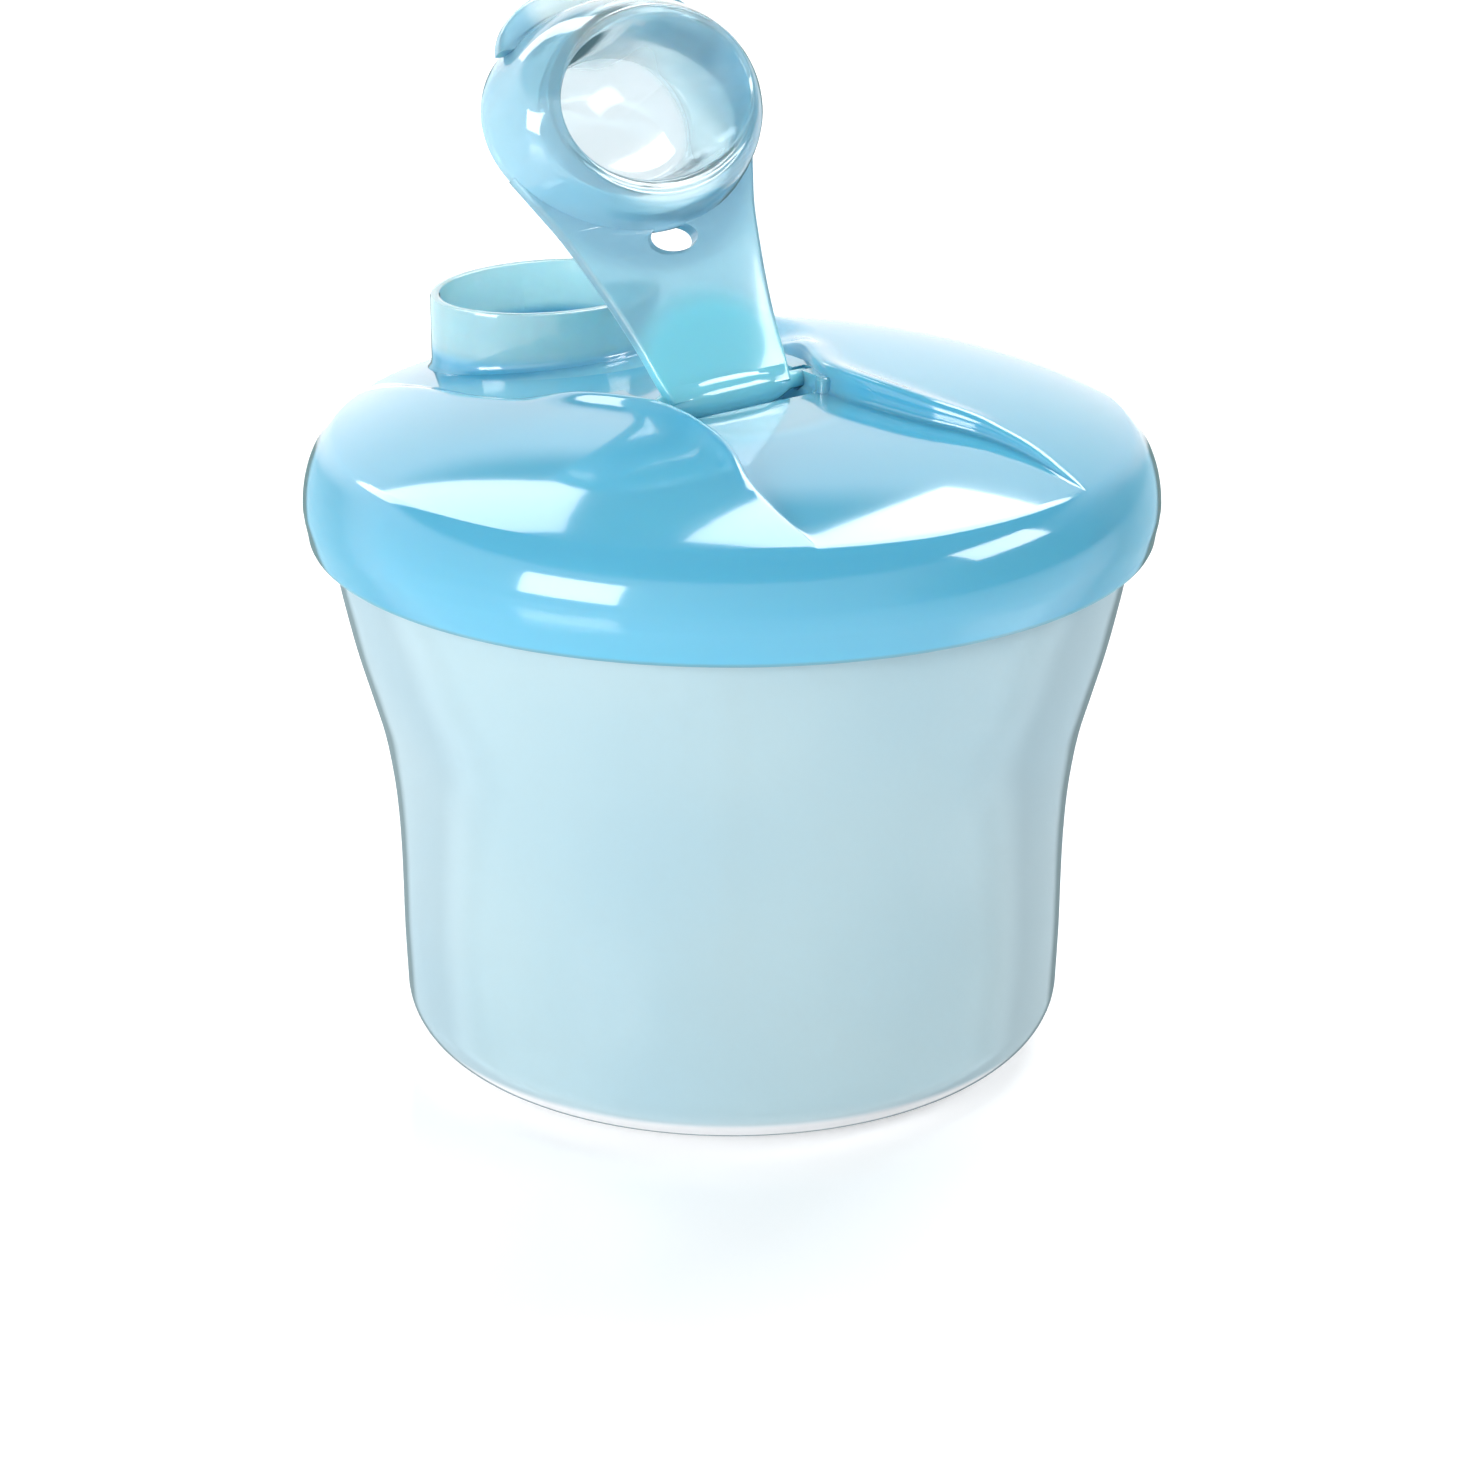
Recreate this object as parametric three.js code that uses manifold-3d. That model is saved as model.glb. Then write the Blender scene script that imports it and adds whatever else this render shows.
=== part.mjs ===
// A dispenser for measured portions of dry powder: a flared cup, a three-blade divider that
// stands in it, a clip-on lid that turns on the cup, and a flip cap over the lid's oval spout.
// Millimetres, +Z up. The origin is the centre of the cup's base, on the surface it stands on.
// The cap is drawn half open, at the angle openAngle from its closed place.
import * as THREE from "three";
import { mergeVertices } from "three/addons/utils/BufferGeometryUtils.js";
import Module from "manifold-3d";

const wasm = await Module();
wasm.setup();

// Cup
const cup = {
  cornerReach: 8.2, // half axes of the rounded foot
  cornerRise: 7.1,
  cornerSteps: 6,
  wall: 1.5,
  floor: 1.8,
  rimHeight: 73.7,
  rimEdge: 0.4,
  beadRadius: 49.3,
  beadLow: 69.4,
  beadHigh: 71.2,
  beadEdge: 0.5,
  segments: 52,
};

// Outer radius of the cup at heights above the foot's corner
const cupSide = [
  [40.9, 7.1],
  [41.15, 14],
  [41.22, 20],
  [41.32, 25.4],
  [41.58, 30.4],
  [42.12, 35.6],
  [43.1, 41.2],
  [44.5, 46.3],
  [46.05, 51.8],
  [47.25, 57],
  [48.15, 61.5],
  [48.6, 65.5],
  [48.7, 69.4],
];

// Divider
const divider = {
  blades: 3,
  firstBlade: 90, // degrees, a blade points away from the front
  thickness: 1.4,
  coreRadius: 2.3,
  wallGap: 0.5,
  floorGap: 0.3,
  topHeight: 77,
  topRadius: 42,
  shoulderHeight: 74.4, // where the blades' sides round off to the top
  shoulderInset: 1.5,
  shoulderDrop: 2,
  shoulderSteps: 5,
  coreEdge: 0.6,
  coreSegments: 24,
};

// Lid
const lid = {
  bottomHeight: 65.6,
  bottomRadius: 51.4,
  maxRadius: 52,
  shoulderHeight: 69.6, // where the rounded band starts
  bandReach: 5.9, // half axes of the band's elliptical section
  bandRise: 9.3,
  bandSteps: 7,
  creaseRadius: 48.2,
  wall: 1.5,
  skirtWall: 1.5,
  edge: 0.4,
  beadRadius: 49.05,
  beadLow: 67.2,
  beadHigh: 68.8,
  beadFall: 0.6,
  beadRise: 0.4,
  ledgeHeight: 74,
  ledgeRadius: 47,
  ledgeSlope: 1.6,
  domeApex: 84.8,
  domePower: 3.4,
  channelApex: 82.4, // the sunken channel's floor at the middle
  channelPower: 3,
  blendFrom: 4, // between these, along the cap's line, the pads' steps become slopes
  blendTo: 18,
  blendReach: 5,
  overlap: 0.9, // how far the pads and the spout reach down into the floor
  segments: 56,
};

// The low rounded crest on each side of the channel
const crest = {
  height: 0.9,
  from: -29, // its two ends along the cap's line
  to: 18,
  width: 5.5,
  endWidth: 0.25, // share of the width at its ends
  roundness: 0.8, // exponent of its swelling from the ends to the middle
  section: [
    [0.05, 0.35], // distance out from the channel's edge, share of the height
    [0.45, 0.85],
    [1.1, 1],
    [2.2, 0.75],
  ],
  footDepth: 0.25,
  rootOut: 2.2,
  rootDepth: 1.2,
  sunk: 0.02,
};

// Heights and distances that lie well clear of the piece being cut
const clear = { below: 60, above: 95, aside: 70 };

// The cap's line runs from its hinge over the spout. Along it is u, across it is v, up is w.
const capAzimuth = 127.65;
const openAngle = 52.2;
const hinge = { x: -1.04, y: -3.1, z: 83 };
const spoutAt = 36.1; // from the hinge axis to the spout's axis

const spout = {
  across: 15.7,
  along: 12.8,
  wall: 1.2,
  rimHeight: 88.8,
  segments: 48,
};

const pivot = {
  pinRadius: 1.1,
  pinHalf: 12.6,
  holeRadius: 1.45,
  holeHalf: 13.1,
  pocketHalf: 10.9,
  pocketBack: -4.3,
  pocketFront: 4.5,
  pocketFloor: 79.9,
  lugHalf: 14.6,
  lugRise: 1.2, // above the hinge axis
  lugDepth: 0.5, // how far the room between the lugs reaches below the channel's floor
  pinEdge: 0.3,
};

// Barrel on the hinge axis: [radius, distance from the middle]
const barrel = [
  [2.65, 0],
  [2.6, 3],
  [2.35, 5.7],
  [1.9, 7.8],
  [1.3, 9.3],
  [1.1, 9.9],
];

const arm = {
  under: 0.6, // the plate's lower and upper face, above the hinge axis
  over: 2.2,
  slotAt: 20,
  slotSide: -0.7,
  slotAcross: 3.4,
  slotAlong: 1.9,
};

// Half width of the channel in the lid at points along the cap's line
const channelHalf = [
  [-52, 20.6],
  [-46, 19.4],
  [-41, 18.6],
  [-34, 18.3],
  [-27.4, 17],
  [-21.5, 14.5],
  [-16, 12.9],
  [-9, 11.9],
  [-4, 12],
  [0, 13.4],
  [4, 15.4],
  [8.3, 17.3],
  [12.5, 18.9],
  [17, 20],
  [24, 20.6],
  [36, 20.8],
  [52, 20.8],
];

const edgeSteps = 38;

// Half width of the cap's arm
const armHalf = [
  [-0.6, 8.8],
  [2.5, 9.5],
  [7, 10.2],
  [12.5, 11.4],
  [18, 12.9],
  [22.5, 14.3],
  [26.5, 16],
  [31, 18],
];

// Rings of the cap's head. Each ring has its half sizes along and across, its centre along,
// its height, and its slope along. Outside and lip, then down the well:
const headSegments = 40;
const headRings = [
  { along: 14.6, across: 18.9, at: 35.9, up: 0.6, slope: 0 },
  { along: 14.6, across: 18.9, at: 35.9, up: 2.2, slope: 0 },
  { along: 14.2, across: 18.3, at: 35.85, up: 5, slope: 0.05 },
  { along: 13.2, across: 17.3, at: 35.6, up: 8, slope: 0.14 },
  { along: 11.5, across: 15.5, at: 35, up: 10.1, slope: 0.25 },
  { along: 10.5, across: 14.6, at: 34.7, up: 10.75, slope: 0.34 },
  { along: 10, across: 14.25, at: 34.7, up: 10.95, slope: 0.365 },
  { along: 9.5, across: 14.05, at: 34.8, up: 10.8, slope: 0.372 },
  { along: 9.1, across: 13.7, at: 34.77, up: 10, slope: 0.372 },
  { along: 8.95, across: 12.8, at: 35.1, up: 7, slope: 0.22 },
  { along: 8.6, across: 11.5, at: 35.8, up: 3.4, slope: 0.06 },
  { along: 8.3, across: 10.8, at: 36.1, up: 1.9, slope: 0 },
  { along: 7.8, across: 10.2, at: 36.1, up: 1.6, slope: 0 },
];
// The room under the head, up the skirt's inside, over, and down the plug:
const headRoom = [
  { along: 13.6, across: 17.8, at: 35.9, up: -1, slope: 0 },
  { along: 13.55, across: 17.7, at: 35.9, up: 2.4, slope: 0.01 },
  { along: 13.1, across: 16.9, at: 35.8, up: 6.2, slope: 0.08 },
  { along: 12, across: 15.9, at: 35.5, up: 8.5, slope: 0.19 },
  { along: 11, across: 15.1, at: 35.2, up: 9.5, slope: 0.27 },
  { along: 10.3, across: 14.7, at: 35.05, up: 9.3, slope: 0.28 },
  { along: 10.15, across: 13.9, at: 35.4, up: 7, slope: 0.18 },
  { along: 9.9, across: 13.1, at: 35.9, up: 4, slope: 0.06 },
  { along: 9.5, across: 12, at: 36.1, up: 1.3, slope: 0 },
  { along: 8.7, across: 11.2, at: 36.1, up: 0.4, slope: 0 },
];

// The well's mouth, widened for the cut that clears the tab's root out of it
const headMouth = { along: 9.8, across: 14.6, at: 34.8, up: 14, slope: 0.372 };
const wellRings = 6;

// Thumb tab on the head's far side
const tab = {
  at: 44.2,
  along: 9.1,
  across: 15.4,
  under: 3.6,
  over: 5.6,
  edge: 0.6,
  slope: 0.03,
  rootFrom: 1.5, // its inner end, past its middle
  segments: 32,
};

const direction = THREE.MathUtils.degToRad(capAzimuth);

// A three.js geometry as a solid
function solid(geometry) {
  const bare = geometry.index ? geometry.toNonIndexed() : geometry.clone();
  for (const name of Object.keys(bare.attributes)) {
    if (name !== "position") bare.deleteAttribute(name);
  }
  const merged = mergeVertices(bare, 1e-4);
  return new wasm.Manifold(
    new wasm.Mesh({
      numProp: 3,
      vertProperties: merged.attributes.position.array,
      triVerts: new Uint32Array(merged.index.array),
    }),
  );
}

// A solid as a three.js mesh
function piece(name, body, material) {
  const mesh = body.getMesh();
  const geometry = new THREE.BufferGeometry();
  const points = new Float32Array(mesh.numVert * 3);
  for (let i = 0; i < mesh.numVert; i++) {
    const start = i * mesh.numProp;
    points.set(mesh.vertProperties.subarray(start, start + 3), i * 3);
  }
  geometry.setAttribute("position", new THREE.BufferAttribute(points, 3));
  geometry.setIndex(new THREE.BufferAttribute(new Uint32Array(mesh.triVerts), 1));
  geometry.computeVertexNormals();
  const made = new THREE.Mesh(geometry, material);
  made.name = name;
  return made;
}

// A profile of [radius, height] points, from the axis round to the axis, turned about Z
function lathe(profile, segments) {
  const points = profile.map(([r, z]) => new THREE.Vector2(r, z));
  const made = new THREE.LatheGeometry(points, segments);
  made.rotateX(Math.PI / 2);
  return made;
}

function turned(profile, segments) {
  return solid(lathe(profile, segments));
}

// A flat outline pushed up from one height to another
function prism(points, bottom, top) {
  const shape = new THREE.Shape(points.map(([x, y]) => new THREE.Vector2(x, y)));
  const made = new THREE.ExtrudeGeometry(shape, {
    depth: top - bottom,
    bevelEnabled: false,
  });
  made.translate(0, 0, bottom);
  return solid(made);
}

function ellipse(alongHalf, acrossHalf, at, segments) {
  const points = [];
  for (let i = 0; i < segments; i++) {
    const a = (2 * Math.PI * i) / segments;
    points.push([at + alongHalf * Math.cos(a), acrossHalf * Math.sin(a)]);
  }
  return points;
}

// A box from x0 to x1 and from z0 to z1, half wide to each side
function block(x0, x1, half, z0, z1) {
  const box = new THREE.BoxGeometry(x1 - x0, 2 * half, z1 - z0);
  box.translate((x0 + x1) / 2, 0, (z0 + z1) / 2);
  return solid(box);
}

// A rod along Y through the local origin
function rod(radius, half, segments = 20) {
  return solid(new THREE.CylinderGeometry(radius, radius, 2 * half, segments));
}

// Moves a solid from the cap's line frame to the lid's frame
function alongCap(body, z = 0) {
  return body.rotate([0, 0, capAzimuth]).translate([hinge.x, hinge.y, z]);
}

// A point of the lid as distances along and across the cap's line
function capPlace(x, y) {
  const [dx, dy] = [x - hinge.x, y - hinge.y];
  return {
    u: dx * Math.cos(direction) + dy * Math.sin(direction),
    v: Math.abs(dx * Math.sin(direction) - dy * Math.cos(direction)),
  };
}

function smooth(table, steps) {
  const curve = new THREE.SplineCurve(table.map(([u, v]) => new THREE.Vector2(u, v)));
  return curve.getPoints(steps).map((p) => [p.x, p.y]);
}

// The cup's side from the axis out to the rim, moved inwards by inset
function cupOutline(inset, floorHeight, sideSteps) {
  const centreRadius = cupSide[0][0] - cup.cornerReach;
  const points = [[0, floorHeight]];
  for (let i = 0; i <= cup.cornerSteps; i++) {
    const a = (Math.PI / 2) * (i / cup.cornerSteps);
    points.push([
      centreRadius + (cup.cornerReach - inset) * Math.sin(a),
      cup.cornerRise - (cup.cornerRise - floorHeight) * Math.cos(a),
    ]);
  }
  const side = smooth(cupSide, sideSteps).slice(1);
  points.push(...side.map(([r, z]) => [r - inset, z]));
  return points;
}

function makeCup() {
  const { beadRadius, beadLow, beadHigh, beadEdge, rimHeight, rimEdge, wall } = cup;
  const collar = cupSide.at(-1)[0];
  const outside = cupOutline(0, 0, 12);
  outside.push(
    [beadRadius, beadLow + beadEdge],
    [beadRadius, beadHigh - beadEdge],
    [collar, beadHigh],
    [collar, rimHeight - rimEdge],
    [collar - rimEdge, rimHeight],
    [collar - wall + rimEdge, rimHeight],
    [collar - wall, rimHeight - rimEdge],
  );
  const inside = cupOutline(wall, cup.floor, 6);
  return turned([...outside, ...inside.reverse()], cup.segments);
}

function makeDivider() {
  const { thickness, coreRadius, wallGap, floorGap } = divider;
  const { topHeight, topRadius, shoulderHeight, shoulderInset, coreEdge } = divider;
  const foot = cup.floor + floorGap;
  const edge = cupOutline(cup.wall + wallGap, foot, 12);
  const side = edge.at(-1)[0];
  const shoulder = side - shoulderInset;
  const blade = [
    ...edge,
    [side, shoulderHeight - divider.shoulderDrop],
    [shoulder, shoulderHeight],
  ];
  for (let i = 1; i <= divider.shoulderSteps; i++) {
    const a = (Math.PI / 2) * (i / divider.shoulderSteps);
    blade.push([
      topRadius + (shoulder - topRadius) * Math.cos(a),
      shoulderHeight + (topHeight - shoulderHeight) * Math.sin(a),
    ]);
  }
  blade.push([0, topHeight]);
  const core = [
    [0, foot],
    [coreRadius, foot],
    [coreRadius, topHeight - coreEdge],
    [coreRadius - coreEdge, topHeight],
    [0, topHeight],
  ];
  let body = turned(core, divider.coreSegments);
  for (let i = 0; i < divider.blades; i++) {
    const turn = divider.firstBlade + (360 / divider.blades) * i;
    const plate = prism(blade, -thickness / 2, thickness / 2);
    body = body.add(plate.rotate([90, 0, 0]).rotate([0, 0, turn]));
  }
  return body;
}

function creaseHeight() {
  const reach = (lid.creaseRadius - (lid.maxRadius - lid.bandReach)) / lid.bandReach;
  return lid.shoulderHeight + lid.bandRise * Math.sqrt(1 - reach * reach);
}

function domeHeight(r) {
  const fall = lid.domeApex - creaseHeight();
  return lid.domeApex - fall * Math.pow(r / lid.creaseRadius, lid.domePower);
}

function channelHeight(r) {
  const fall = lid.channelApex - creaseHeight();
  return lid.channelApex - fall * Math.pow(r / lid.creaseRadius, lid.channelPower);
}

// From 0 to 1 with a soft start and end
function ease(x) {
  const t = Math.min(Math.max(x, 0), 1);
  return t * t * (3 - 2 * t);
}

function halfAt(u) {
  const i = Math.max(channelHalf.findIndex(([at]) => at > u), 1);
  const [a, b] = [channelHalf[i - 1], channelHalf[i]];
  return a[1] + ((b[1] - a[1]) * (u - a[0])) / (b[0] - a[0]);
}

// The pads stand at the dome's height. Beside the spout they slope down to the channel.
function padHeight(x, y) {
  const r = Math.hypot(x, y);
  const { u, v } = capPlace(x, y);
  const share = ease((u - lid.blendFrom) / (lid.blendTo - lid.blendFrom));
  const slope = ease((v - halfAt(u)) / lid.blendReach);
  const low = channelHeight(r);
  return low + (domeHeight(r) - low) * (1 - share * (1 - slope));
}

function radii(edge, steps) {
  return Array.from({ length: steps + 1 }, (_, i) => edge * (1 - i / steps));
}

// Everything under a height field: a turned body whose top rows are moved to the field
function underField(field, edge, steps) {
  const foot = clear.below;
  const rows = radii(edge, steps);
  const profile = [[0, foot], [edge, foot], ...rows.map((r) => [r, foot + 1])];
  const made = lathe(profile, lid.segments);
  const p = made.getAttribute("position");
  for (let i = 0; i < p.count; i++) {
    if (p.getZ(i) > foot + 0.5) p.setZ(i, field(p.getX(i), p.getY(i)));
  }
  return solid(made);
}

function bandProfile() {
  const points = [];
  const centre = lid.maxRadius - lid.bandReach;
  const last = Math.acos((lid.creaseRadius - centre) / lid.bandReach);
  for (let i = 0; i <= lid.bandSteps; i++) {
    const a = (last * i) / lid.bandSteps;
    points.push([
      centre + lid.bandReach * Math.cos(a),
      lid.shoulderHeight + lid.bandRise * Math.sin(a),
    ]);
  }
  return points;
}

// The ground plan of both pads, with the channel's edge moved away from it by inset
function padPlan(inset) {
  const edge = smooth(channelHalf, edgeSteps);
  const moved = edge.map(([u, v], i) => {
    const [a, b] = [edge[Math.max(i - 1, 0)], edge[Math.min(i + 1, edge.length - 1)]];
    const [du, dv] = [b[0] - a[0], b[1] - a[1]];
    const long = Math.hypot(du, dv);
    return [u - (inset * dv) / long, v + (inset * du) / long];
  });
  const [first, last] = [moved[0][0], moved.at(-1)[0]];
  const outline = [...moved, [last, clear.aside], [first, clear.aside]];
  const side = prism(outline.reverse(), clear.below, clear.above);
  return alongCap(side.add(side.mirror([0, 1, 0])));
}

// The crest along one edge of the channel, highest beside the hinge
function makeCrest() {
  const edge = smooth(channelHalf, edgeSteps).filter(
    ([u]) => u > crest.from && u < crest.to,
  );
  const count = edge.length;
  const rows = edge.map(([u, v], i) => {
    const [a, b] = [edge[Math.max(i - 1, 0)], edge[Math.min(i + 1, count - 1)]];
    const long = Math.hypot(b[0] - a[0], b[1] - a[1]);
    const out = [-(b[1] - a[1]) / long, (b[0] - a[0]) / long];
    const swell = Math.pow(Math.sin((Math.PI * i) / (count - 1)), crest.roundness);
    const foot = crest.width * (crest.endWidth + (1 - crest.endWidth) * swell);
    const section = [
      ...crest.section.map(([off, share]) => [off, share * crest.height * swell]),
      [foot, -crest.footDepth],
      [crest.rootOut, -crest.rootDepth],
    ];
    return section.map(([off, up]) => {
      const [pu, pv] = [u + out[0] * off, v + out[1] * off];
      const x = hinge.x + pu * Math.cos(direction) - pv * Math.sin(direction);
      const y = hinge.y + pu * Math.sin(direction) + pv * Math.cos(direction);
      return [pu, pv, padHeight(x, y) + up - crest.sunk];
    });
  });
  const wide = rows[0].length;
  const positions = rows.flat();
  const faces = [];
  for (let i = 0; i < count - 1; i++) {
    for (let j = 0; j < wide; j++) {
      const k = (j + 1) % wide;
      const [a, b] = [i * wide + j, i * wide + k];
      const [c, d] = [a + wide, b + wide];
      faces.push(a, c, b, b, c, d);
    }
  }
  for (let j = 1; j < wide - 1; j++) {
    faces.push(0, j, j + 1);
    const last = (count - 1) * wide;
    faces.push(last, last + j + 1, last + j);
  }
  const made = new THREE.BufferGeometry();
  made.setAttribute("position", new THREE.Float32BufferAttribute(positions.flat(), 3));
  made.setIndex(faces);
  return solid(made);
}

function makeLid() {
  const { bottomHeight, bottomRadius, skirtWall, ledgeHeight, ledgeRadius } = lid;
  const { wall, edge, overlap } = lid;
  const skirtInner = bottomRadius - skirtWall;
  const roomEdge = ledgeRadius - lid.ledgeSlope;
  const floorTop = radii(lid.creaseRadius, 6).map((r) => [r, channelHeight(r)]);
  const floorUnder = radii(roomEdge, 4).map((r) => [r, channelHeight(r) - wall]);
  const outline = [
    ...floorUnder.reverse(),
    [ledgeRadius, ledgeHeight + lid.ledgeSlope],
    [ledgeRadius, ledgeHeight],
    [skirtInner, ledgeHeight],
    [skirtInner, lid.beadHigh],
    [lid.beadRadius, lid.beadHigh - lid.beadFall],
    [lid.beadRadius, lid.beadLow + lid.beadRise],
    [skirtInner, lid.beadLow],
    [skirtInner, bottomHeight + edge],
    [skirtInner + edge, bottomHeight],
    [bottomRadius - edge, bottomHeight],
    [bottomRadius, bottomHeight + edge],
    ...bandProfile(),
    ...floorTop.slice(1),
  ];
  const turnedBody = turned(outline, lid.segments);
  const floorField = (x, y) => channelHeight(Math.hypot(x, y)) - overlap;
  const roomField = (x, y) => padHeight(x, y) - wall;
  const belowFloor = underField(floorField, lid.creaseRadius + 1, 8);
  const pads = underField(padHeight, lid.creaseRadius - crest.sunk, 10);
  const padRoom = underField(roomField, roomEdge, 6);
  let body = turnedBody.add(pads.intersect(padPlan(0)).subtract(belowFloor));
  body = body.subtract(padRoom.intersect(padPlan(wall)));
  const rib = makeCrest();
  body = body.add(alongCap(rib).add(alongCap(rib.mirror([0, 1, 0]))));

  // hinge pocket: its shell, its room and the two pin holes
  const p = pivot;
  const [back, front] = [p.pocketBack, p.pocketFront];
  const lugTop = hinge.z + p.lugRise;
  const lugFoot = lid.channelApex - p.lugDepth;
  const shell = block(back - wall, front + wall, p.lugHalf, p.pocketFloor - wall, lugTop);
  const above = block(back - 2 * wall, front + 2 * wall, p.pocketHalf, lugFoot, clear.above);
  const room = block(back, front, p.pocketHalf, p.pocketFloor, clear.above);
  body = body.add(alongCap(shell.subtract(above)));
  body = body.subtract(alongCap(room));
  body = body.subtract(alongCap(rod(p.holeRadius, p.holeHalf), hinge.z));

  // spout
  const s = spout;
  const outside = ellipse(s.along, s.across, spoutAt, s.segments);
  const inside = ellipse(s.along - s.wall, s.across - s.wall, spoutAt, s.segments);
  const tube = prism(outside, ledgeHeight, s.rimHeight);
  const bore = prism(inside, clear.below, clear.above);
  return body.add(alongCap(tube).subtract(belowFloor)).subtract(alongCap(bore));
}

// A closed skin through a list of rings, with a middle point at each end
function ringSkin(rings, segments) {
  const count = rings.length + 2;
  const profile = [];
  for (let i = 0; i < count; i++) {
    profile.push(new THREE.Vector2(i > 0 && i < count - 1 ? 1 : 0, i));
  }
  const skin = new THREE.LatheGeometry(profile, segments);
  const p = skin.getAttribute("position");
  for (let i = 0; i < p.count; i++) {
    const row = Math.min(Math.max(Math.round(p.getY(i)) - 1, 0), rings.length - 1);
    const x = p.getX(i);
    const y = p.getZ(i);
    const r = rings[row];
    p.setXYZ(i, r.at + r.along * x, -r.across * y, r.up + r.slope * r.along * x);
  }
  return solid(skin);
}

function makeCap() {
  const edge = smooth(armHalf, 18);
  const mirrored = edge.map(([u, v]) => [u, -v]);
  const plate = prism([...mirrored, ...edge.reverse()], arm.under, arm.over);
  const { pinRadius, pinHalf, pinEdge } = pivot;
  const axle = [...barrel, [pinRadius, pinHalf - pinEdge], [pinRadius - pinEdge, pinHalf]];
  const profile = [
    [0, -pinHalf],
    ...axle.slice(1).reverse().map(([r, y]) => [r, -y]),
    ...axle,
    [0, pinHalf],
  ];
  const knuckle = turned(profile, 16).rotate([90, 0, 0]);
  const full = { ...tab, up: tab.under + tab.edge };
  const narrow = { ...tab, along: tab.along - tab.edge, across: tab.across - tab.edge };
  const lobes = [
    { ...narrow, up: tab.under },
    full,
    { ...full, up: tab.over - tab.edge },
    { ...narrow, up: tab.over },
  ];
  const innerEnd = block(0, tab.at + tab.rootFrom, clear.aside, 0, headMouth.up);
  const thumb = ringSkin(lobes, tab.segments).subtract(innerEnd);
  const slotPlan = ellipse(arm.slotAlong, arm.slotAcross, arm.slotAt, 28);
  const slot = prism(slotPlan, -arm.over, 2 * arm.over).translate([0, arm.slotSide, 0]);
  const well = ringSkin(headRings, headSegments);
  const wellRoom = ringSkin(
    [...headRings.slice(-wellRings).reverse(), headMouth],
    headSegments,
  );
  return plate
    .add(well)
    .add(thumb.subtract(wellRoom))
    .add(knuckle)
    .subtract(ringSkin(headRoom, headSegments))
    .subtract(slot)
    .rotate([0, -openAngle, 0])
    .rotate([0, 0, capAzimuth])
    .translate([hinge.x, hinge.y, hinge.z]);
}

const blue = new THREE.MeshStandardMaterial({
  color: 0x6cc3e4,
  roughness: 0.18,
  metalness: 0,
  transparent: true,
  opacity: 0.85,
});
const capBlue = new THREE.MeshStandardMaterial({
  color: 0x7ccbe8,
  roughness: 0.16,
  metalness: 0,
  transparent: true,
  opacity: 0.75,
});
const frosted = new THREE.MeshStandardMaterial({
  color: 0xc6e2ec,
  roughness: 0.42,
  metalness: 0,
  transparent: true,
  opacity: 0.7,
});
const clearBlue = new THREE.MeshStandardMaterial({
  color: 0xd6edf4,
  roughness: 0.35,
  metalness: 0,
  transparent: true,
  opacity: 0.6,
});

const dispenser = new THREE.Group();
dispenser.add(piece("cup", makeCup(), frosted));
dispenser.add(piece("divider", makeDivider(), clearBlue));
dispenser.add(piece("lid", makeLid(), blue));
dispenser.add(piece("cap", makeCap(), capBlue));

export default dispenser;
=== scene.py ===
import math

import bmesh
import bpy
from mathutils import Matrix, Vector


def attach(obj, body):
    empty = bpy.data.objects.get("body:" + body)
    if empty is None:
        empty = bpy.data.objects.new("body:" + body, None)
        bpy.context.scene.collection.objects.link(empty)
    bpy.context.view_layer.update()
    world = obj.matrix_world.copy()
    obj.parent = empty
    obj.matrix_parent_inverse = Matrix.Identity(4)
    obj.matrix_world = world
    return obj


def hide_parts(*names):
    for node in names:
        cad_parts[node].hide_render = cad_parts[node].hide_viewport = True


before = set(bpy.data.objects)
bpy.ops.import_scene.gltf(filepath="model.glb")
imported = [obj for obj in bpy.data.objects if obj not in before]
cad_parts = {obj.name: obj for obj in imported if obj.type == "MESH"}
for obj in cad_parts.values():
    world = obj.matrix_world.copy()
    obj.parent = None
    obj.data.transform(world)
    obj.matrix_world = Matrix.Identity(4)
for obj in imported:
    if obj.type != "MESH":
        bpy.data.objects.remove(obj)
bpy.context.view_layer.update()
mm = 0.001

# the cap's line: where it lies on the lid, and how far the cap stands open
capLine = {
    "azimuth": 127.65,
    "open": 52.2,
    "hingeX": -1.04,
    "hingeY": -3.1,
    "hingeZ": 83.0,
    "spoutAt": 36.1,
}


def beyond(end, inner):
    # as far past the end of a table as the point inside it is before the end
    return [2 * end[0] - inner[0], 2 * end[1] - inner[1]]


def smoothTable(table, steps):
    # points on a soft curve through a table of pairs
    points = []
    last = len(table) - 1
    for i in range(steps + 1):
        place = last * i / steps
        k = min(int(place), last - 1)
        t = place - k
        b, c = table[k], table[k + 1]
        a = table[k - 1] if k > 0 else beyond(b, c)
        d = table[k + 2] if k + 2 <= last else beyond(c, b)
        row = []
        for j in range(2):
            v0, v1 = (c[j] - a[j]) / 2, (d[j] - b[j]) / 2
            row.append((2 * b[j] - 2 * c[j] + v0 + v1) * t**3
                       + (-3 * b[j] + 3 * c[j] - 2 * v0 - v1) * t**2 + v0 * t + b[j])
        points.append(row)
    return points


def valueAt(points, x):
    # straight between the points of a table
    if x <= points[0][0]:
        return points[0][1]
    for a, b in zip(points, points[1:]):
        if x <= b[0]:
            return a[1] + (b[1] - a[1]) * (x - a[0]) / (b[0] - a[0])
    return points[-1][1]


def ease(x):
    t = min(max(x, 0), 1)
    return t * t * (3 - 2 * t)


def faceOut(bm):
    # turns every face outwards
    bmesh.ops.recalc_face_normals(bm, faces=bm.faces)
    if bm.calc_volume(signed=True) < 0:
        bmesh.ops.reverse_faces(bm, faces=bm.faces)


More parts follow.
